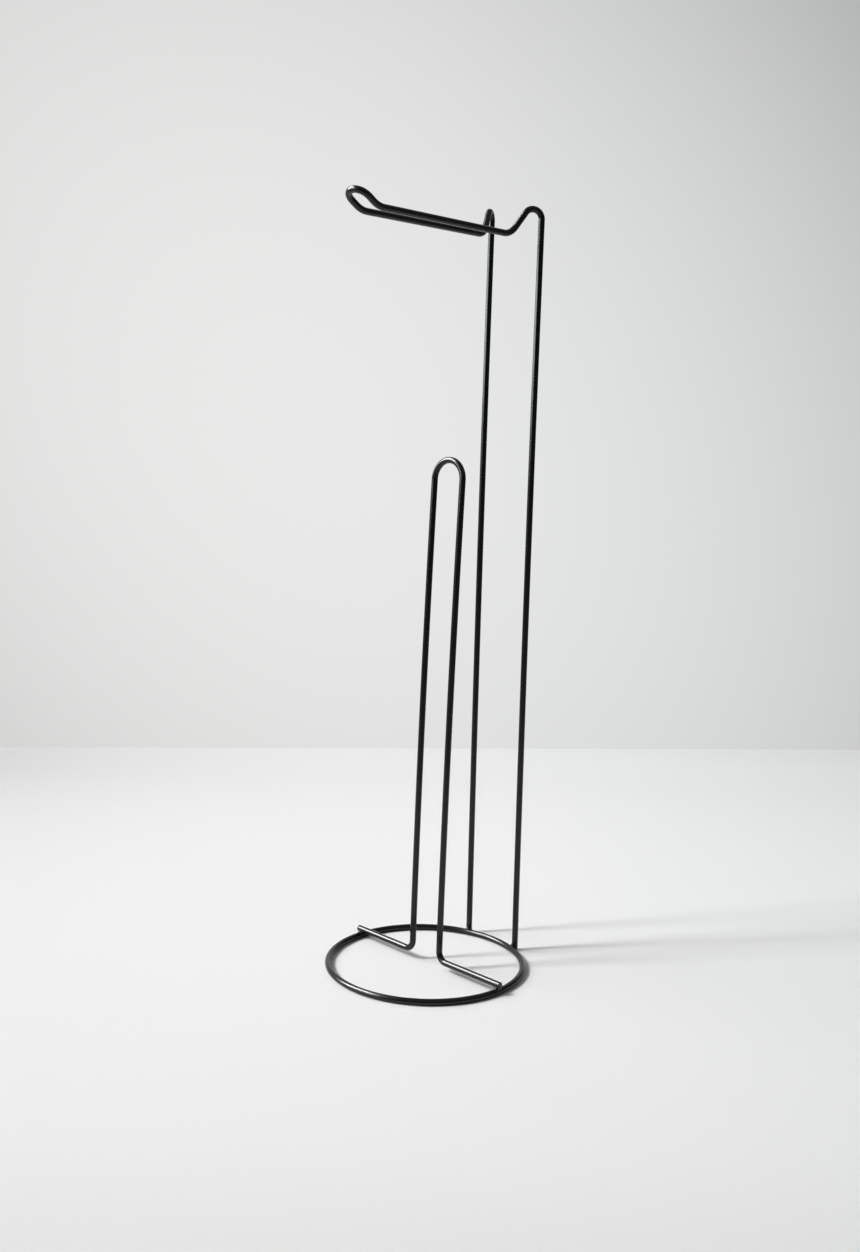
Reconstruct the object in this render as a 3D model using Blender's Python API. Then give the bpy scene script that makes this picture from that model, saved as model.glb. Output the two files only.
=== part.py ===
"""Free-standing toilet roll holder bent from black coated steel wire.

Three rods of one gauge make the stand: a closed base ring, a long rod whose two uprights
carry the roll arm, and a narrow upright hoop for spare rolls. Small weld beads join them.
Units are metres, +Z is up, -Y is the way the roll arm points.
"""

from math import atan2, cos, pi, radians, sin, sqrt, tan

import bmesh
import bpy
from mathutils import Matrix, Quaternion, Vector

MM = 0.001

# Wire and joints
wire_diameter = 5.0 * MM
joint_gap = 0.4 * MM
weld_gap = 0.3 * MM
floor_gap = 0.5 * MM

# Base ring, measured to the wire's centre line
ring_radius = 77.5 * MM

# Uprights and humps of the arm rod, the left hump is the higher one
total_height = 603.7 * MM
right_hump_drop = 4.8 * MM
upright_spacing = 52.0 * MM
upright_bow = 1.4 * MM
right_upright_splay = 0.7 * MM
hump_radius_right = 7.3 * MM
hump_radius_left = 6.4 * MM
hump_fall_right = radians(55.2)
hump_fall_left = radians(54.7)

# Valleys behind the arm, where the falling rods turn forward
valley_spacing = 28.3 * MM
valley_back = 56.75 * MM
valley_bend_radius = 12.5 * MM

# Arm end: the rods rise a little and close in a round loop
tip_height = 572.2 * MM
tip_front = 76.6 * MM
tip_spacing = 18.0 * MM
tip_run = 10.2 * MM
tip_rise = radians(30.5)
tip_bend_radius = 18.7 * MM

# Hoop for spare rolls
spare_height = 403.0 * MM
spare_spacing = 30.0 * MM
spare_bend_radius = 7.5 * MM
spare_lean = radians(1.6)
spare_bow = 1.4 * MM

# Weld beads, as half lengths along the ring, along the rod welded to it and across the joint
upright_bead_along = 4.2 * MM
upright_bead_up = 3.0 * MM
upright_bead_across = 2.0 * MM
upright_bead_rise = 0.9 * MM
foot_bead_along = 4.0 * MM
foot_bead_out = 2.5 * MM
foot_bead_across = 2.0 * MM

# Fineness of the model
tube_sides = 16
ring_steps = 96
bend_step = radians(12.0)
bow_steps = 6
bead_steps = 20
bead_rows = 11

# Sizes that follow
wire_radius = wire_diameter / 2
tube_radius = wire_radius / cos(pi / tube_sides)
clearance_radius = (tube_radius + weld_gap) / cos(pi / tube_sides)
rod_pitch = wire_diameter + joint_gap
ring_height = wire_radius
foot_height = ring_height + rod_pitch
foot_reach = ring_radius + wire_radius
upright_x = upright_spacing / 2
upright_back = sqrt((ring_radius + rod_pitch) ** 2 - upright_x ** 2)
valley_x = valley_spacing / 2
tip_x = tip_spacing / 2
loop_front = tip_front + tip_run * cos(tip_rise)
loop_height = tip_height + tip_run * sin(tip_rise)
front_reach = loop_front + tip_x * cos(tip_rise) + wire_radius
back_reach = upright_back + wire_radius
ring_centre_y = (front_reach - back_reach) / 2


def clear_scene():
    for thing in list(bpy.data.objects):
        bpy.data.objects.remove(thing, do_unlink=True)


def new_collection(name):
    group = bpy.data.collections.new(name)
    bpy.context.scene.collection.children.link(group)
    return group


def coat_material(name, color, roughness, metallic):
    material = bpy.data.materials.new(name)
    material.use_nodes = True
    shader = material.node_tree.nodes["Principled BSDF"]
    shader.inputs["Base Color"].default_value = color
    shader.inputs["Roughness"].default_value = roughness
    shader.inputs["Metallic"].default_value = metallic
    return material


def arc_points(centre, first, second, sweep):
    """Points on an arc round centre, from centre + first towards second, both of its radius."""
    steps = max(2, round(sweep / bend_step))
    turns = [sweep * index / steps for index in range(steps + 1)]
    return [centre + first * cos(turn) + second * sin(turn) for turn in turns]


def bend_points(before, corner, after, radius):
    """The rounded corner that a rod of this bend radius makes between three points."""
    back = (before - corner).normalized()
    ahead = (after - corner).normalized()
    turn = pi - back.angle(ahead)
    tangent = radius * tan(turn / 2)
    middle = (back + ahead).normalized()
    centre = corner + middle * (radius / cos(turn / 2))
    first = corner + back * tangent - centre
    return arc_points(centre, first, -back * radius, turn)


def bow_points(start, end, depth):
    """The points between two ends of a rod that bows forward by this depth in its middle."""
    parts = [index / bow_steps for index in range(1, bow_steps)]
    return [start.lerp(end, part) - Vector((0, depth * 4 * part * (1 - part), 0)) for part in parts]


def rod(name, points, material, group, parent, closed=False):
    """A round wire along the points: a polyline curve with a round bevel and flat cut ends."""
    curve = bpy.data.curves.new(name, "CURVE")
    curve.dimensions = "3D"
    curve.bevel_depth = tube_radius
    curve.bevel_resolution = (tube_sides - 4) // 2
    curve.use_fill_caps = not closed
    spline = curve.splines.new("POLY")
    spline.points.add(len(points) - 1)
    for spot, place in zip(spline.points, points):
        spot.co = (*place, 1.0)
        spot.tilt = pi / tube_sides
    spline.use_cyclic_u = closed
    spline.use_smooth = True
    thing = bpy.data.objects.new(name, curve)
    thing.data.materials.append(material)
    thing.parent = parent
    group.objects.link(thing)
    return thing


def make_base_ring(material, group, parent):
    turns = [2 * pi * index / ring_steps for index in range(ring_steps)]
    points = [Vector((ring_radius * cos(turn), ring_radius * sin(turn), ring_height)) for turn in turns]
    return rod("base_ring", points, material, group, parent, closed=True)


def hump_and_valley(side, height, splay, radius, fall):
    """One side of the arm rod from its cut end at the floor to the bend at the arm's end."""
    foot = Vector((side * upright_x, upright_back, floor_gap))
    hump = foot + Vector((side * splay, 0, 0))
    valley_plan = Vector((side * valley_x, valley_back, 0))
    run = (Vector((hump.x, hump.y, 0)) - valley_plan).length
    hump.z = height - wire_radius - radius + radius * tan(pi / 4 + fall / 2)
    valley = valley_plan + Vector((0, 0, hump.z - run * tan(fall)))
    tip = Vector((side * tip_x, -tip_front, tip_height))
    loop = Vector((side * tip_x, -loop_front, loop_height))
    top = bend_points(foot, hump, valley, radius)
    points = [foot] + bow_points(foot, top[0], upright_bow) + top
    points += bend_points(hump, valley, tip, valley_bend_radius)
    points += bend_points(valley, tip, loop, tip_bend_radius)
    return points


def make_roll_arm_wire(material, group, parent):
    right = hump_and_valley(1, total_height - right_hump_drop, right_upright_splay, hump_radius_right,
                            hump_fall_right)
    left = hump_and_valley(-1, total_height, 0, hump_radius_left, hump_fall_left)
    centre = Vector((0, -loop_front, loop_height))
    sideways = Vector((tip_x, 0, 0))
    onward = Vector((0, -tip_x * cos(tip_rise), tip_x * sin(tip_rise)))
    loop = arc_points(centre, sideways, onward, pi)
    return rod("roll_arm_wire", right + loop + left[::-1], material, group, parent)


def hoop_point(across, along):
    """A point of the hoop's leaning plane: along runs up from the feet."""
    return Vector((across, along * sin(spare_lean), foot_height + along * cos(spare_lean)))


def make_spare_roll_wire(material, group, parent):
    leg_x = spare_spacing / 2
    crown = (spare_height - wire_radius - foot_height) / cos(spare_lean) - leg_x
    top = hoop_point(0, crown)
    sides = []
    for side in (1, -1):
        end = hoop_point(side * foot_reach, 0)
        shoulder = hoop_point(side * leg_x, crown)
        corner = bend_points(end, hoop_point(side * leg_x, 0), shoulder, spare_bend_radius)
        sides.append([end] + corner + bow_points(corner[-1], shoulder, spare_bow))
    arch = arc_points(top, hoop_point(leg_x, crown) - top, hoop_point(0, crown + leg_x) - top, pi)
    return rod("spare_roll_wire", sides[0] + arch + sides[1][::-1], material, group, parent)


def hide_cutter(thing, group, parent):
    for home in list(thing.users_collection):
        home.objects.unlink(thing)
    group.objects.link(thing)
    thing.parent = parent
    thing.hide_render = True
    thing.display_type = "WIRE"
    return thing


def make_ring_cutter(group, parent):
    bpy.ops.mesh.primitive_torus_add(
        major_segments=ring_steps, minor_segments=tube_sides,
        major_radius=ring_radius, minor_radius=clearance_radius,
        location=(0, 0, ring_height), rotation=(0, 0, pi / ring_steps))
    cutter = bpy.context.active_object
    cutter.name = "ring_clearance"
    return hide_cutter(cutter, group, parent)


def make_rod_cutter(name, start, end, group, parent):
    direction = end - start
    facing = direction.to_track_quat("Z", "Y") @ Quaternion((0, 0, 1), pi / tube_sides)
    bpy.ops.mesh.primitive_cylinder_add(
        vertices=tube_sides, radius=clearance_radius, depth=direction.length,
        location=(start + end) / 2, rotation=facing.to_euler())
    cutter = bpy.context.active_object
    cutter.name = name
    return hide_cutter(cutter, group, parent)


def make_weld_bead(name, place, half_sizes, angle, cutters, material, group, parent):
    """A flat lump of weld in the joint of two rods, cut back to their surfaces."""
    mesh = bpy.data.meshes.new(name)
    shape = bmesh.new()
    bmesh.ops.create_uvsphere(shape, u_segments=bead_steps, v_segments=bead_rows, radius=1.0,
                              matrix=Matrix.Rotation(pi / bead_steps, 4, "Z"))
    bmesh.ops.scale(shape, vec=half_sizes, verts=shape.verts)
    shape.to_mesh(mesh)
    shape.free()
    mesh.shade_smooth()
    mesh.materials.append(material)
    bead = bpy.data.objects.new(name, mesh)
    bead.location = place
    bead.rotation_euler.z = angle
    bead.parent = parent
    group.objects.link(bead)
    for cutter in cutters:
        cut = bead.modifiers.new(cutter.name, "BOOLEAN")
        cut.operation = "DIFFERENCE"
        cut.solver = "EXACT"
        cut.object = cutter
    return bead


def make_upright_weld(side, name, ring_cutter, material, group, cutter_group, parent):
    outward = Vector((side * upright_x, upright_back, 0)).normalized()
    axis_foot = Vector((side * upright_x, upright_back, 0))
    reach = Vector((0, 0, 2 * foot_height))
    rod_cutter = make_rod_cutter(name + "_clearance", axis_foot - reach, axis_foot + reach, cutter_group, parent)
    place = outward * (ring_radius + rod_pitch / 2) + Vector((0, 0, ring_height + upright_bead_rise))
    angle = atan2(-outward.x, outward.y)
    half_sizes = (upright_bead_along, upright_bead_across, upright_bead_up)
    return make_weld_bead(name, place, half_sizes, angle, [ring_cutter, rod_cutter], material, group, parent)


def make_foot_weld(side, name, ring_cutter, material, group, cutter_group, parent):
    near_end = hoop_point(0, 0)
    far_end = hoop_point(side * (foot_reach + foot_height), 0)
    rod_cutter = make_rod_cutter(name + "_clearance", near_end, far_end, cutter_group, parent)
    place = Vector((side * ring_radius, 0, ring_height + rod_pitch / 2))
    half_sizes = (foot_bead_out, foot_bead_along, foot_bead_across)
    return make_weld_bead(name, place, half_sizes, 0, [ring_cutter, rod_cutter], material, group, parent)


def build():
    clear_scene()
    group = new_collection("toilet_roll_holder")
    cutter_group = new_collection("cutters")
    stand = bpy.data.objects.new("ring_centre", None)
    stand.location = (0, ring_centre_y, 0)
    group.objects.link(stand)
    coat = coat_material("black_coat", (0.012, 0.012, 0.013, 1.0), 0.32, 0.0)
    bead_coat = coat_material("black_coat_on_weld", (0.014, 0.014, 0.015, 1.0), 0.42, 0.0)

    make_base_ring(coat, group, stand)
    make_roll_arm_wire(coat, group, stand)
    make_spare_roll_wire(coat, group, stand)
    ring_cutter = make_ring_cutter(cutter_group, stand)
    for side, word in ((1, "right"), (-1, "left")):
        make_upright_weld(side, "weld_upright_" + word, ring_cutter, bead_coat, group, cutter_group, stand)
        make_foot_weld(side, "weld_foot_" + word, ring_cutter, bead_coat, group, cutter_group, stand)


build()
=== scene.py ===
import math

import bpy
import numpy as np
from mathutils import Matrix, Vector


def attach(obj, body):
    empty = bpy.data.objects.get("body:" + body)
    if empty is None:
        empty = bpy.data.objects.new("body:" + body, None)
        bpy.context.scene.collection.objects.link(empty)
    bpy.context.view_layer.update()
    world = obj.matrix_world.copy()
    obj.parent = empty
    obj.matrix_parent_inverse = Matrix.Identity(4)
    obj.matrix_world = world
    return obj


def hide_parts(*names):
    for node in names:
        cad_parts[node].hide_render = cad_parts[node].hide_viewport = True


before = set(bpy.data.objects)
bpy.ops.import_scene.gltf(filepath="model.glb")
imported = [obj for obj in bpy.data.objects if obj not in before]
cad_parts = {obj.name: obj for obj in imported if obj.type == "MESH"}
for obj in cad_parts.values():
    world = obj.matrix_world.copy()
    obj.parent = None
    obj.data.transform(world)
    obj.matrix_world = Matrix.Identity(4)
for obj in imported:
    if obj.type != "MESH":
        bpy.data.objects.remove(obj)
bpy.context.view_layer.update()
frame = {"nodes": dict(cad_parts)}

scene = bpy.context.scene
print("frame loaded:", ", ".join(frame["nodes"]))

# lengths in metres, angles in degrees but for the camera's three turns
ringCentreY = 0.007213
wire = {
    "radius": 0.0025,
    "sides": 40,  # round the rod
    "endRound": 0.0003,  # edge of a cut end
    "step": 0.006,  # along a straight rod
    "stepTurn": 3.0,  # along a bend
    "stepSwing": 5.0,  # between bends that lie in different planes
    "bowSteps": 40,  # along a bowed rod
}


# shader nodes written as expressions

class Socket:
    # one output of a node. The signs + - * on it add Math nodes
    def __init__(self, sheet, out):
        self.sheet, self.out = sheet, out

    def math(self, operation, other, swap=False):
        pair = [other, self] if swap else [self, other]
        return self.sheet.get("Math", 0, {"operation": operation}, dict(enumerate(pair)))

    def __add__(self, other): return self.math("ADD", other)
    def __radd__(self, other): return self.math("ADD", other, True)
    def __sub__(self, other): return self.math("SUBTRACT", other)
    def __rsub__(self, other): return self.math("SUBTRACT", other, True)
    def __mul__(self, other): return self.math("MULTIPLY", other)
    def __rmul__(self, other): return self.math("MULTIPLY", other, True)
    def atMost(self, other): return self.math("MINIMUM", other)
    def atLeast(self, other): return self.math("MAXIMUM", other)


class NodeSheet:
    # the node tree of a material or of the world, emptied first
    def __init__(self, owner):
        owner.use_nodes = True
        self.tree = owner.node_tree
        self.tree.nodes.clear()

    def add(self, kind, settings=None, values=None):
        # settings are set first, then each socket gets its value or its link
        node = self.tree.nodes.new("ShaderNode" + kind)
        for name, value in (settings or {}).items():
            setattr(node, name, value)
        for name, value in (values or {}).items():
            if isinstance(value, Socket):
                self.tree.links.new(value.out, node.inputs[name])
            else:
                node.inputs[name].default_value = value
        return node

    def get(self, kind, output=0, settings=None, values=None):
        return Socket(self, self.add(kind, settings, values).outputs[output])

    def place(self):
        # the Object coordinates as three separate numbers
        split = self.add("SeparateXYZ", None, {"Vector": self.get("TexCoord", "Object")})
        return [Socket(self, out) for out in split.outputs]

    def noise(self, where, scale, detail=2.0, rough=0.5, distortion=0.0):
        return self.get("TexNoise", 0, None, {
            "Vector": where, "Scale": scale, "Detail": detail, "Roughness": rough, "Distortion": distortion})

    def remap(self, value, span, low=0.0, high=1.0):
        # goes smoothly from low to high while the value crosses its span, and stays there beyond it
        return self.get("MapRange", "Result", {"interpolation_type": "SMOOTHSTEP", "clamp": True}, {
            "Value": value, "From Min": span[0], "From Max": span[1], "To Min": low, "To Max": high})

    def mixColour(self, factor, first, second):
        return self.get("Mix", 2, {"data_type": "RGBA"}, {0: factor, 6: first, 7: second})


# surfaces on a grid

def meshFromGrid(name, points, uv, closedAlong, poles=None):
    # points is rows by columns by 3, and four neighbours make a face. Columns close round. Rows close round too, or
    # end in two poles, each with a fan of triangles
    rows, cols = points.shape[:2]
    verts = points.reshape(-1, 3)
    i = np.arange(rows if closedAlong else rows - 1)[:, None]
    j = np.arange(cols)[None, :]
    here, onward, nextCol = i * cols, (i + 1) % rows * cols, (j + 1) % cols
    quads = np.stack([here + j, here + nextCol, onward + nextCol, onward + j], -1).reshape(-1, 4)
    corner = np.stack(np.broadcast_arrays(
        uv[i, j], uv[i, j + 1], uv[i + 1, j + 1], uv[i + 1, j]), -2).reshape(-1, 2)
    faces = quads.tolist()
    if poles is not None:
        verts = np.vstack([verts, poles])
        ends = np.arange(cols)
        nextEnd, lastRow = (ends + 1) % cols, (rows - 1) * cols
        first = np.stack([np.full(cols, rows * cols), nextEnd, ends], -1)
        last = np.stack([np.full(cols, rows * cols + 1), lastRow + ends, lastRow + nextEnd], -1)
        faces += first.tolist() + last.tolist()
        middle = (uv[:, :-1] + uv[:, 1:]) / 2
        firstUv = np.stack([middle[0], uv[0, 1:], uv[0, :-1]], 1).reshape(-1, 2)
        lastUv = np.stack([middle[-1], uv[-1, :-1], uv[-1, 1:]], 1).reshape(-1, 2)
        corner = np.vstack([corner, firstUv, lastUv])
    mesh = bpy.data.meshes.new(name)
    mesh.from_pydata(verts.tolist(), [], faces)
    layer = mesh.uv_layers.new(name="wireUv")
    layer.data.foreach_set("uv", corner.astype(np.float32).ravel())
    mesh.shade_smooth()
    mesh.validate()
    mesh.update()
    return mesh


def placePiece(name, mesh, material, node):
    # a piece in the place of one CAD node
    piece = bpy.data.objects.new(name, mesh)
    scene.collection.objects.link(piece)
    mesh.materials.append(material)
    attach(piece, "root")
    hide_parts(node)


def unit(vectors):
    # each vector over its own length
    return vectors / np.linalg.norm(vectors, axis=-1, keepdims=True)


def arc(centre, first, second, turn):
    # centre + first cos t + second sin t, with the side vector square to the arc's plane
    steps = max(4, round(math.degrees(turn) / wire["stepTurn"]))
    t = np.linspace(0, turn, steps + 1)[:, None]
    points = centre + first * np.cos(t) + second * np.sin(t)
    side = unit(np.cross(first, second))
    return points, np.repeat(side[None], len(points), 0)


def bend(before, corner, after, radius):
    # round corner: the arc that touches both straights. Its centre lies on the line that halves the corner,
    # radius / cos(turn / 2) away, and it starts radius tan(turn / 2) before the corner
    back, ahead = unit(before - corner), unit(after - corner)
    turn = math.pi - math.acos(float(np.clip(back @ ahead, -1, 1)))
    centre = corner + unit(back + ahead) * radius / math.cos(turn / 2)
    first = corner + back * radius * math.tan(turn / 2) - centre
    return arc(centre, first, -back * radius, turn)


def bowedRod(end, start, side, depth):
    # a straight rod from start to end that bows forward by depth times 4 t (1 - t)
    t = np.linspace(0, 1, wire["bowSteps"])[:-1, None]
    points = start * (1 - t) + end * t
    points[:, 1:2] -= depth * 4 * t * (1 - t)
    return points, np.repeat(side[None], len(points), 0)


def joinPath(parts):
    # strings the parts together, fills the straights between them and swings the side vector evenly along those
    points, sides = [parts[0][0]], [parts[0][1]]
    for part, side in parts[1:]:
        if sides[-1][-1] @ side[0] < 0:
            side = -side
        gap = np.linalg.norm(part[0] - points[-1][-1])
        swing = math.degrees(math.acos(float(np.clip(sides[-1][-1] @ side[0], -1, 1))))
        steps = max(1, round(gap / wire["step"]), math.ceil(swing / wire["stepSwing"]))
        t = np.linspace(0, 1, steps + 1)[1:-1, None]
        points += [points[-1][-1] * (1 - t) + part[0] * t, part]
        sides += [sides[-1][-1] * (1 - t) + side[0] * t, side]
    return np.vstack(points), np.vstack(sides)


def turnedBack(parts):
    # the same parts from the last to the first
    return [(points[::-1], sides[::-1]) for points, sides in parts[::-1]]


def tubeAlong(name, points, sides, closed=False):
    # a circle of the wire's radius carried along the path, square to it. Open ends are cut square: a quarter round
    # of the edge, then flat rings that shrink to a pole
    radius, edge, roundSteps = wire["radius"], wire["endRound"], 7
    flatRings = np.array([0.75, 0.45, 0.2])
    if closed:
        ahead = unit(np.roll(points, -1, 0) - np.roll(points, 1, 0))
        radii = np.full(len(points), radius)
    else:
        startDir, endDir = unit(points[1] - points[0]), unit(points[-1] - points[-2])
        t = np.linspace(0, math.pi / 2, roundSteps)
        inset, shrink = edge * (1 - np.sin(t)), edge * (1 - np.cos(t))
        flat, noInset = flatRings * (radius - edge), np.zeros(len(flatRings))
        first = points[0] + np.concatenate([noInset, inset[::-1]])[:, None] * startDir
        last = points[-1] - np.concatenate([inset, noInset])[:, None] * endDir
        endRadii = np.concatenate([radius - shrink, flat])
        radii = np.concatenate([endRadii[::-1], np.full(len(points) - 2, radius), endRadii])
        ends = len(endRadii)
        ahead = np.gradient(points, axis=0)[1:-1]
        ahead = unit(np.vstack([np.repeat(startDir[None], ends, 0), ahead, np.repeat(endDir[None], ends, 0)]))
        sides = np.vstack([np.repeat(sides[:1], ends, 0), sides[1:-1], np.repeat(sides[-1:], ends, 0)])
        poles = np.array([points[0], points[-1]])
        points = np.vstack([first, points[1:-1], last])
    sides = unit(sides - ahead * np.sum(sides * ahead, -1, keepdims=True))
    across = np.cross(ahead, sides)
    turn = np.linspace(0, 2 * math.pi, wire["sides"] + 1)
    c, d = np.cos(turn[:-1])[None, :, None], np.sin(turn[:-1])[None, :, None]
    ring = sides[:, None] * c + across[:, None] * d
    grid = points[:, None] + ring * radii[:, None, None]
    along = np.concatenate([[0], np.cumsum(np.linalg.norm(np.diff(points, axis=0), axis=1))])
    if closed:
        along = np.append(along, along[-1] + np.linalg.norm(points[0] - points[-1]))
    uv = np.stack(np.broadcast_arrays(along[:, None], (turn * radius)[None, :]), -1)
    return meshFromGrid(name, grid, uv, closed, None if closed else poles)


# black powder coat on the wires, and on the weld beads

coatLook = {
    "baseDark": (0.0020, 0.0021, 0.0023, 1.0),
    "baseLight": (0.0038, 0.0038, 0.0040, 1.0),
    "roughness": 0.22,
    "roughnessSpread": 0.03,
    "specular": 0.38,
    "driftScale": 38.0,  # broad patches to a metre
    "peelSize": 0.0016,
    "peelDepth": 0.0000010,
    "grainSize": 0.0004,
    "grainDepth": 0.00000018,
    "lumpSize": 0.0016,
    "lumpDepth": 0.0,
    "driftInShade": 0.6,  # the rest is grain
    "shadeSpan": (0.35, 0.65),
    "driftInGloss": 0.8,  # the rest is peel
    "glossSpan": (0.36, 0.64),
}
beadLook = dict(coatLook, roughness=0.40, lumpDepth=0.00006)


def coatMaterial(name, look):
    # satin powder coat: soft orange peel and fine grain in the bump, broad drift in gloss and shade
    material = bpy.data.materials.new(name)
    sheet = NodeSheet(material)
    where = sheet.get("TexCoord", "Object")
    drift = sheet.noise(where, look["driftScale"], detail=3.0)
    peel = sheet.noise(where, 1 / look["peelSize"], rough=0.45)
    grain = sheet.noise(where, 1 / look["grainSize"], detail=1.0)
    height = peel * look["peelDepth"] + grain * look["grainDepth"]
    if look["lumpDepth"]:
        height = height + sheet.noise(where, 1 / look["lumpSize"], distortion=0.4) * look["lumpDepth"]
    bump = sheet.get("Bump", "Normal", None, {"Strength": 1.0, "Distance": 1.0, "Height": height})
    inShade, inGloss = look["driftInShade"], look["driftInGloss"]
    shade = sheet.remap(drift * inShade + grain * (1 - inShade), look["shadeSpan"])
    halfSpread = look["roughnessSpread"] / 2
    rough = sheet.remap(drift * inGloss + peel * (1 - inGloss), look["glossSpan"],
                        look["roughness"] - halfSpread, look["roughness"] + halfSpread)
    shader = sheet.get("BsdfPrincipled", "BSDF", None, {
        "Base Color": sheet.mixColour(shade, look["baseDark"], look["baseLight"]),
        "Roughness": rough, "Metallic": 0.0, "Specular IOR Level": look["specular"], "Normal": bump})
    sheet.add("OutputMaterial", None, {"Surface": shader})
    return material


wireCoat = coatMaterial("powderCoatBlack", coatLook)
beadCoat = coatMaterial("powderCoatOnWeld", beadLook)
print("coat materials made")


# base ring

ringSize = {"radius": 0.0775, "height": 0.0025, "steps": 240}


def ringPath():
    # a level circle round the ring's middle: radius cos t, radius sin t
    s = ringSize
    t = np.linspace(0, 2 * math.pi, s["steps"], endpoint=False)
    points = np.stack([s["radius"] * np.cos(t), ringCentreY + s["radius"] * np.sin(t),
                       np.full_like(t, s["height"])], -1)
    return points, np.repeat(np.array([[0.0, 0.0, 1.0]]), len(t), 0)


ringMesh = tubeAlong("baseRing", *ringPath(), closed=True)
placePiece("base_ring_wire", ringMesh, wireCoat, "base_ring")
print("base ring made")


# roll arm rod: uprights, humps, valleys, arm and its end loop

armSize = {
    "uprightX": 0.026, "uprightY": 0.078717, "floorGap": 0.0005, "bow": 0.0014,
    "valleyX": 0.01415, "valleyY": 0.05675, "valleyRadius": 0.0125,
    "tipX": 0.009, "tipY": -0.0766, "tipZ": 0.5722, "tipRadius": 0.0187,
    "loopRun": 0.01018, "rise": 30.5,
}
rightHump = {"side": 1, "top": 0.5989, "splay": 0.0007, "radius": 0.0073, "fall": 55.2}
leftHump = {"side": -1, "top": 0.60369, "splay": 0.0, "radius": 0.0064, "fall": 54.7}


def loopWay():
    # the way the end loop points: forward, raised by its rise
    rise = math.radians(armSize["rise"])
    return np.array([0, -math.cos(rise), math.sin(rise)])


def armSide(hump):
    # one half of the rod: straight lines through foot, hump corner, valley and tip, with an arc at each corner. The
    # hump's corner is radius (tan(45 + fall / 2) - 1) above the wire's middle at the top
    s, fall, side = armSize, math.radians(hump["fall"]), hump["side"]
    foot = np.array([side * s["uprightX"], s["uprightY"], s["floorGap"]])
    valleyPlan = np.array([side * s["valleyX"], s["valleyY"], 0])
    corner = foot + [side * hump["splay"], 0, 0]
    run = np.linalg.norm(corner[:2] - valleyPlan[:2])
    corner[2] = hump["top"] - wire["radius"] + hump["radius"] * (math.tan(math.pi / 4 + fall / 2) - 1)
    valley = valleyPlan + [0, 0, corner[2] - run * math.tan(fall)]
    tip = np.array([side * s["tipX"], s["tipY"], s["tipZ"]])
    loop = tip + s["loopRun"] * loopWay()
    top = bend(foot, corner, valley, hump["radius"])
    return [bowedRod(top[0][0], foot, top[1][0], s["bow"]), top,
            bend(corner, valley, tip, s["valleyRadius"]),
            bend(valley, tip, loop, s["tipRadius"])], loop


def armPath():
    # up the right side, half a circle round the end loop and back down the left side
    right, rightLoop = armSide(rightHump)
    left, leftLoop = armSide(leftHump)
    centre = (rightLoop + leftLoop) / 2
    loop = arc(centre, rightLoop - centre, loopWay() * armSize["tipX"], math.pi)
    points, sides = joinPath([*right, loop, *turnedBack(left)])
    return points + [0, ringCentreY, 0], sides


armMesh = tubeAlong("rollArm", *armPath())
placePiece("roll_arm_rod", armMesh, wireCoat, "roll_arm_wire")
print("roll arm made")


# hoop for spare rolls, with its two feet

hoopSize = {"height": 0.403, "legX": 0.015, "bendRadius": 0.0075, "lean": 1.6, "footZ": 0.0079, "reach": 0.08,
            "bow": 0.0014}


def hoopPoint(across, along):
    # a point of the hoop's plane, which leans back about its feet: along sin(lean) back, along cos(lean) up
    lean = math.radians(hoopSize["lean"])
    return np.array([across, along * math.sin(lean), hoopSize["footZ"] + along * math.cos(lean)])


def hoopPath():
    # foot, bend and leg on each side, and half a circle over the top between them
    s = hoopSize
    x = s["legX"]
    crown = (s["height"] - wire["radius"] - s["footZ"]) / math.cos(math.radians(s["lean"])) - x
    centre = hoopPoint(0, crown)
    top = arc(centre, hoopPoint(x, crown) - centre, hoopPoint(0, crown + x) - centre, math.pi)
    halves = []
    for side in (1, -1):
        end, shoulder = hoopPoint(side * s["reach"], 0), hoopPoint(side * x, crown)
        corner = bend(end, hoopPoint(side * x, 0), shoulder, s["bendRadius"])
        leg = bowedRod(shoulder, corner[0][-1], corner[1][-1], s["bow"])
        halves.append([(end[None], corner[1][:1]), corner, (leg[0][1:], leg[1][1:])])
    points, sides = joinPath([*halves[0], top, *turnedBack(halves[1])])
    return points + [0, ringCentreY, 0], sides


hoopMesh = tubeAlong("spareHoop", *hoopPath())
placePiece("spare_roll_hoop", hoopMesh, wireCoat, "spare_roll_wire")
print("spare roll hoop made")


# weld beads

beadSize = {
    "gap": 0.0004,  # between the two rods
    "alongLower": 0.0040, "reachAcross": 0.0021,
    "inward": 0.0038, "outward": 0.0018,  # along the upper rod, away from its end and towards it
    "roundRod": 0.00225,  # how far it may climb round a rod
    "sink": 0.00025,  # into each rod
    "bulge": 0.55, "ripple": 0.06, "uprightSeed": 0.7, "footSeed": 2.9,
    "hollow": 0.0012, "innerReach": 0.0003,
    "around": 72, "outer": 14, "inner": 6, "uvStep": 0.0003,
}


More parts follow.
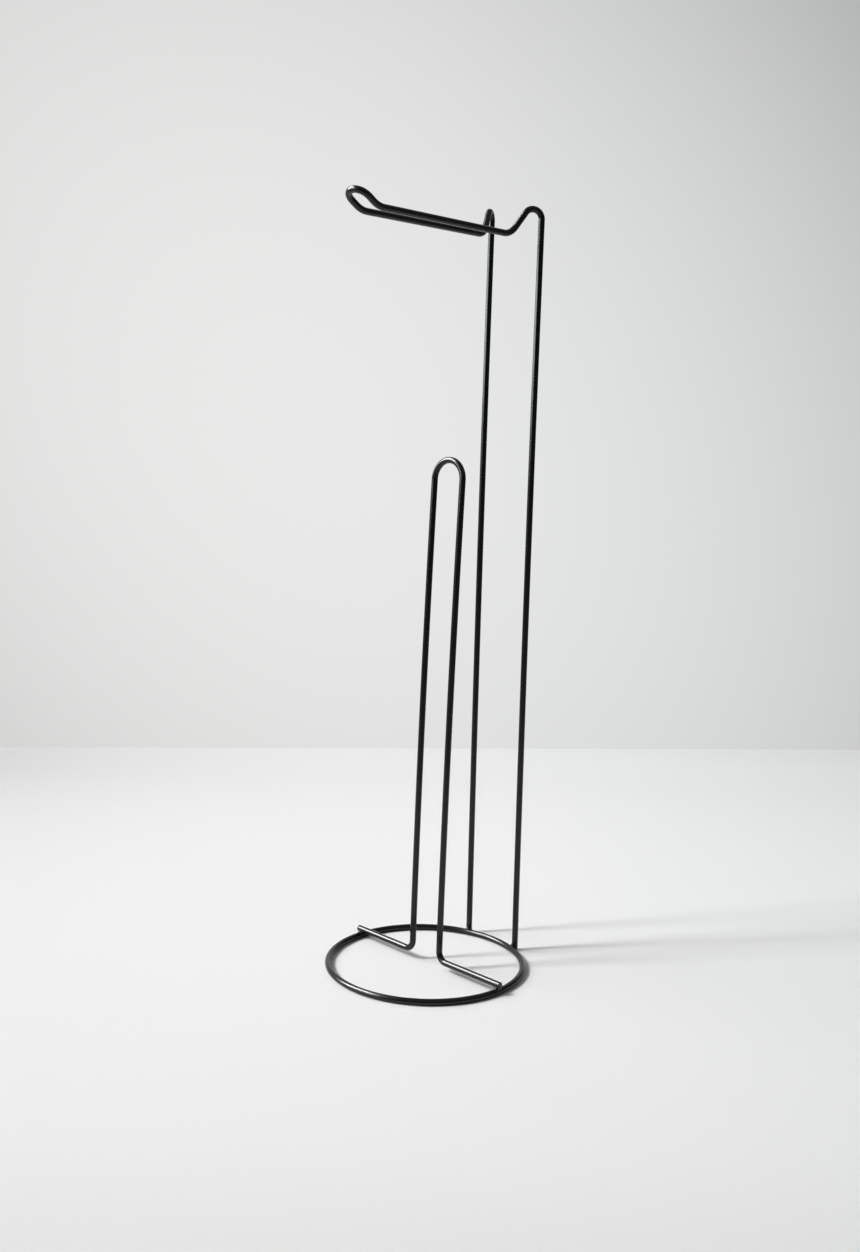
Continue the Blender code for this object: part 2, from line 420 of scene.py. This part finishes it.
def weldBead(name, contact, alongLower, alongUpper, away, seed):
    # a closed collar round the contact point. At each angle it starts on the lower rod, swells out and ends on the
    # upper rod, then goes back inside. Its reach is an ellipse on each rod with a slow wave laid over it, and on the
    # upper rod it is short towards that rod's end
    s = beadSize
    turn = np.linspace(0, 2 * math.pi, s["around"], endpoint=False)[:, None]
    wave = 1 + s["ripple"] * (np.sin(2 * turn + seed) + 0.6 * np.sin(3 * turn + 2.1 * seed)
                              + 0.3 * np.sin(7 * turn))
    c, d = np.cos(turn), np.sin(turn)

    def keptOnRod(reach, across):
        return np.minimum(reach, s["roundRod"] / np.maximum(np.abs(across), 1e-3))

    def rodHeight(offset):
        # how far a rod's surface has fallen away at this offset from its middle line
        return wire["radius"] - np.sqrt(np.maximum(wire["radius"] ** 2 - offset ** 2, 0))

    lowReach = wave / np.sqrt((c / s["alongLower"]) ** 2 + (d / s["reachAcross"]) ** 2)
    upperAlong = (s["outward"] + s["inward"]) / 2 + (s["outward"] - s["inward"]) / 2 * d
    highReach = wave / np.sqrt((c / s["reachAcross"]) ** 2 + (d / upperAlong) ** 2)
    lowReach, highReach = keptOnRod(lowReach, d), keptOnRod(highReach, c)
    lowZ = -s["gap"] / 2 - rodHeight(lowReach * d)
    highZ = s["gap"] / 2 + rodHeight(highReach * c)

    # outside: a curve of the second degree from rod to rod, pulled outwards in its middle
    t = np.linspace(0, 1, s["outer"])[None, :]
    middle = np.maximum(lowReach, highReach) * s["bulge"] + (lowReach + highReach) / 2 * (1 - s["bulge"])
    reachOut = lowReach * (1 - t) ** 2 + 2 * middle * t * (1 - t) + highReach * t ** 2
    heightOut = lowZ * (1 - t) + highZ * t

    # inside: back along a hollow
    u = np.linspace(0, 1, s["inner"] + 2)[None, 1:-1]
    reachIn = highReach * (1 - u) + lowReach * u - s["hollow"] * np.sin(math.pi * u)
    heightIn = highZ * (1 - u) + lowZ * u

    reach = np.concatenate([reachOut, np.maximum(reachIn, s["innerReach"])], 1)
    height = np.concatenate([heightOut, heightIn], 1)
    height = height + s["sink"] * np.concatenate([2 * t - 1, 1 - 2 * u], 1)
    grid = (contact + (reach * c)[..., None] * alongLower + (reach * d)[..., None] * alongUpper
            + height[..., None] * away)
    uvRow, uvCol = [np.arange(count + 1) * s["uvStep"] for count in grid.shape[:2]]
    uv = np.stack(np.meshgrid(uvRow, uvCol, indexing="ij"), -1)
    if np.dot(np.cross(alongLower, alongUpper), away) < 0:
        grid = grid[:, ::-1]  # so that the faces point outwards
    return meshFromGrid(name, grid, uv, True)


def makeWelds():
    # on each side, a bead where the upright touches the ring's outside and one where the foot lies on the ring
    s = beadSize
    across, back, up = np.eye(3)
    reach = ringSize["radius"] + wire["radius"] + s["gap"] / 2
    for number, (side, word) in enumerate(((1, "right"), (-1, "left"))):
        outward = unit(np.array([side * armSize["uprightX"], armSize["uprightY"], 0]))
        contact = outward * reach + [0, ringCentreY, ringSize["height"]]
        mesh = weldBead("uprightWeld", contact, np.cross(up, outward), -up, outward, s["uprightSeed"] + number)
        placePiece("weld_bead_upright_" + word, mesh, beadCoat, "weld_upright_" + word)
        contact = np.array([side * ringSize["radius"], ringCentreY, ringSize["height"] * 2 + s["gap"] / 2])
        mesh = weldBead("footWeld", contact, back, side * across, up, s["footSeed"] + number)
        placePiece("weld_bead_foot_" + word, mesh, beadCoat, "weld_foot_" + word)


makeWelds()
print("weld beads made")


# camera at the photograph's place. Its place is from the ring's middle, and its three turns are in radians

cameraSize = {"place": (0.64169, -0.64652, 0.36654), "yaw": 0.7857, "pitch": 0.1032, "roll": 0.0278,
              "focal": 1180.0, "frameHeight": 1252.0, "sensor": 36.0, "clip": (0.02, 60.0)}


def makeCamera():
    # yaw and pitch give the way it looks, and roll turns its right and up about that. The lens is the focal length
    # in pixels over the frame's height, times the sensor's size
    s = cameraSize
    yaw, pitch, roll = s["yaw"], s["pitch"], s["roll"]
    back = np.array([math.sin(yaw) * math.cos(pitch), -math.cos(yaw) * math.cos(pitch), math.sin(pitch)])
    right = unit(np.cross(-back, [0, 0, 1.0]))
    up = np.cross(right, -back)
    rolledRight = math.cos(roll) * right + math.sin(roll) * up
    rolledUp = -math.sin(roll) * right + math.cos(roll) * up
    data = bpy.data.cameras.new("photoCamera")
    data.sensor_width = s["sensor"]
    data.lens = s["focal"] / s["frameHeight"] * s["sensor"]
    data.clip_start, data.clip_end = s["clip"]
    camera = bpy.data.objects.new("photoCamera", data)
    scene.collection.objects.link(camera)
    matrix = np.eye(4)
    matrix[:3, :3] = np.stack([rolledRight, rolledUp, back], 1)
    matrix[:3, 3] = np.array(s["place"]) + [0, ringCentreY, 0]
    camera.matrix_world = Matrix(matrix.tolist())
    scene.camera = camera


makeCamera()
print("camera made")


# table and wall. Across is to the camera's right and away is from the camera, both level and from the ring's middle

tableLook = {
    "edgeLeft": (-0.9705, 0.1133), "edgeRight": (-0.1817, 1.1188),  # two points of its back edge
    "wide": 2.2, "deep": 1.5,
    # painted light: the curve's terms, with the darkest and palest it may reach, paint the pool of lamp light on the
    # table
    "colour": 0.777, "byAcross": 0.149, "byAway": 0.090,
    "byAcross2": -0.300, "byAway2": -0.184, "byBoth": 0.123, "darkest": 0.5, "palest": 0.88,
    # painted light towards the back edge, painted shade towards the front, and a tint that paints the light's colour
    "paintedBackLight": 0.03, "backSpan": (0.60, 0.80), "paintedFrontShade": 0.055, "frontSpan": (-0.42, -0.25),
    "tintLeft": (1.0, 1.0, 0.993, 1.0), "tintRight": (0.985, 1.0, 0.995, 1.0), "tintSpan": (-0.1, 0.4),
}
wallLook = {
    "away": 1.6, "left": -4.0, "right": 1.15, "bottom": -1.5, "top": 3.5,
    "matt": (0.6, 0.6, 0.6, 1.0),  # for the light that lands on it
    "glow": 0.815, "glowAcross": -0.297, "glowHeight": 0.532,
    "fallAcross": 0.138, "fallUp": 0.129, "fallBoth": 0.075, "darkest": 0.42,
    "tintLeft": (1.0, 1.0, 0.992, 1.0), "tintRight": (0.983, 1.0, 0.992, 1.0), "tintSpan": (-0.2, 0.7),
}
black = (0.0, 0.0, 0.0, 1.0)


def cameraSideAxes():
    # away from the camera and to its right, level with the floor
    yaw = cameraSize["yaw"]
    return np.array([-math.sin(yaw), math.cos(yaw), 0.0]), np.array([math.cos(yaw), math.sin(yaw), 0.0])


def stagePlane(name, corners, material):
    # corners are in the plane's own level axes: x to the camera's right, y away from it, z up
    away, right = cameraSideAxes()
    mesh = bpy.data.meshes.new(name)
    mesh.from_pydata(corners, [], [tuple(range(len(corners)))])
    mesh.materials.append(material)
    plane = bpy.data.objects.new(name, mesh)
    plane.matrix_world = Matrix([[right[0], away[0], 0, 0], [right[1], away[1], 0, ringCentreY],
                                 [0, 0, 1, 0], [0, 0, 0, 1]])
    scene.collection.objects.link(plane)


def tableMaterial():
    # matt and pale. Its shade is painted light, the pool of lamp light on the table: a curve of the second degree
    # in across and away, a little paler towards the back edge and darker towards the front. Its tint from left to
    # right paints the light's colour
    s = tableLook
    material = bpy.data.materials.new("paleTable")
    sheet = NodeSheet(material)
    across, away, _ = sheet.place()
    # painted light: the pool of lamp light on the table, put into its colour, paler at the back edge and shaded at
    # the front
    shade = (s["colour"] + across * s["byAcross"] + away * s["byAway"] + across * across * s["byAcross2"]
             + away * away * s["byAway2"] + across * away * s["byBoth"])
    shade = shade.atLeast(s["darkest"]).atMost(s["palest"]) + sheet.remap(away, s["backSpan"], 0.0, s["paintedBackLight"])
    shade = shade * sheet.remap(away, s["frontSpan"], 1 - s["paintedFrontShade"], 1.0)
    tint = sheet.mixColour(sheet.remap(across, s["tintSpan"]), s["tintLeft"], s["tintRight"])
    colour = sheet.mixColour(shade, black, tint)
    shader = sheet.get("BsdfDiffuse", 0, None, {"Color": colour, "Roughness": 0.0})
    sheet.add("OutputMaterial", None, {"Surface": shader})
    return material


def wallMaterial():
    # a soft glow for the camera and in the gloss, brightest left of the middle, that falls off with the squares of
    # the distances across and up and with their product
    s = wallLook
    material = bpy.data.materials.new("paleWall")
    material.cycles.emission_sampling = "NONE"  # it only shows, it lights nothing
    sheet = NodeSheet(material)
    across, _, height = sheet.place()
    across, height = across - s["glowAcross"], height - s["glowHeight"]
    light = (s["glow"] - across * across * s["fallAcross"] - height * height * s["fallUp"]
             - across * height * s["fallBoth"]).atLeast(s["darkest"])
    tint = sheet.mixColour(sheet.remap(across, s["tintSpan"]), s["tintLeft"], s["tintRight"])
    glow = sheet.get("Emission", 0, None, {"Color": sheet.mixColour(light, black, tint), "Strength": 1.0})
    matt = sheet.get("BsdfDiffuse", 0, None, {"Color": s["matt"]})
    camera, glossy, through = [sheet.get("LightPath", "Is " + ray + " Ray")
                               for ray in ("Camera", "Glossy", "Transmission")]
    mixed = sheet.get("MixShader", 0, None, {0: camera.atLeast(glossy).atLeast(through), 1: matt, 2: glow})
    sheet.add("OutputMaterial", None, {"Surface": mixed})
    return material


def makeStage():
    # the table is a rectangle in front of its back edge, and the wall stands behind it, square to the camera's way
    s, w = tableLook, wallLook
    away, right = cameraSideAxes()
    ends = [np.array([*s[end], 0.0]) for end in ("edgeLeft", "edgeRight")]
    left, other = [np.array([end @ right, end @ away, 0.0]) for end in ends]
    middle = (left + other) / 2
    half, deep = unit(other - left) * s["wide"] / 2, np.array([0, s["deep"], 0])
    table = [middle - half, middle - half - deep, middle + half - deep, middle + half]
    stagePlane("tableTop", [tuple(corner) for corner in table], tableMaterial())
    wall = [(w[side], w["away"], w[end]) for side, end in (
        ("left", "bottom"), ("right", "bottom"), ("right", "top"), ("left", "top"))]
    stagePlane("wall", wall, wallMaterial())


makeStage()
print("table and wall made")


# lamps. Azimuth and height are the direction from the stand, width and tall the size as seen from there, all in
# degrees, and level is the brightness, where 1 is white. A lamp for the gloss alone only shows in the coat

lampAim = 0.1  # height of the point that they face
lamps = {
    "keyLamp": {"azimuth": 238.0, "height": 42.0, "away": 6.0, "width": 7.6, "tall": 7.6, "level": 118.0,
                "colour": (0.985, 0.99, 1.0), "glossOnly": False},
    "softBox": {"azimuth": 218.0, "height": 41.0, "away": 4.0, "width": 30.0, "tall": 34.0, "level": 5.1,
                "colour": (0.985, 0.99, 1.0), "glossOnly": False},
    "stripBox": {"azimuth": 212.0, "height": 41.0, "away": 3.9, "width": 17.0, "tall": 34.0, "level": 25.0,
                 "colour": (0.99, 0.98, 1.0), "glossOnly": True},
    "sidePanel": {"azimuth": 232.0, "height": 18.3, "away": 3.0, "width": 60.0, "tall": 11.4, "level": 9.5,
                  "colour": (0.76, 0.90, 1.0), "glossOnly": True},
}


def direction(azimuth, height):
    # cos a cos e, sin a cos e, sin e
    a, e = math.radians(azimuth), math.radians(height)
    return np.array([math.cos(a) * math.cos(e), math.sin(a) * math.cos(e), math.sin(e)])


def makeLamp(name, s):
    # size from the angle, 2 away tan(angle / 2), and power from the brightness, 4 x area x level
    towards = direction(s["azimuth"], s["height"])
    size = [2 * s["away"] * math.tan(math.radians(s[side] / 2)) for side in ("width", "tall")]
    isDisc = s["width"] == s["tall"]
    data = bpy.data.lights.new(name, "AREA")
    data.shape = "DISK" if isDisc else "RECTANGLE"
    data.size, data.size_y = size
    data.energy = s["level"] * 4 * size[0] * size[1] * (math.pi / 4 if isDisc else 1)
    data.color = s["colour"]
    lamp = bpy.data.objects.new(name, data)
    scene.collection.objects.link(lamp)
    lamp.visible_camera = False
    lamp.visible_diffuse = not s["glossOnly"]
    lamp.location = (towards * s["away"] + [0, 0, lampAim]).tolist()
    lamp.rotation_mode = "QUATERNION"
    lamp.rotation_quaternion = Vector(towards.tolist()).to_track_quat("Z", "Y")


for name, lamp in lamps.items():
    makeLamp(name, lamp)
print("lamps made")


# the room round the stand, which shows in the gloss

worldLight = {
    "roomSide": 0.05, "wallSide": 0.45, "aheadSpan": (-0.5, 0.7),
    "rightSide": 0.10, "rightSpan": (0.2, 0.6),
    "above": 0.28, "aboveSpan": (0.25, 0.9),
    "below": 0.28, "belowSpan": (-0.1, 0.0),
    "warm": (1.0, 0.985, 0.955, 1.0),
    "seen": (0.66, 0.668, 0.664, 1.0),  # plain, where the camera looks past the table and the wall
}


def makeWorld():
    # dim on the camera's side of the room and to its right, paler overhead, below and towards the wall. Each part is
    # laid over the others by its share, which is how far the ray points its way: level (1 - share) + share part
    s = worldLight
    world = bpy.data.worlds.new("studio")
    scene.world = world
    sheet = NodeSheet(world)
    away, right = cameraSideAxes()
    where = sheet.get("TexCoord", "Generated")
    ahead, aside, upward = [
        sheet.get("VectorMath", "Value", {"operation": "DOT_PRODUCT"}, {0: where, 1: tuple(way)})
        for way in (away, right, (0.0, 0.0, 1.0))]
    level = sheet.remap(ahead, s["aheadSpan"], s["roomSide"], s["wallSide"])
    for share, part in ((sheet.remap(aside, s["rightSpan"]), s["rightSide"]),
                        (sheet.remap(upward, s["aboveSpan"]), s["above"]),
                        (sheet.remap(upward, s["belowSpan"], 1.0, 0.0), s["below"])):
        level = level * (1.0 - share) + share * part
    colour = sheet.mixColour(level, black, s["warm"])
    colour = sheet.mixColour(sheet.get("LightPath", "Is Camera Ray"), colour, s["seen"])
    back = sheet.get("Background", 0, None, {"Color": colour, "Strength": 1.0})
    sheet.add("OutputWorld", None, {"Surface": back})


makeWorld()
scene.view_settings.view_transform = "Standard"
print("world made")
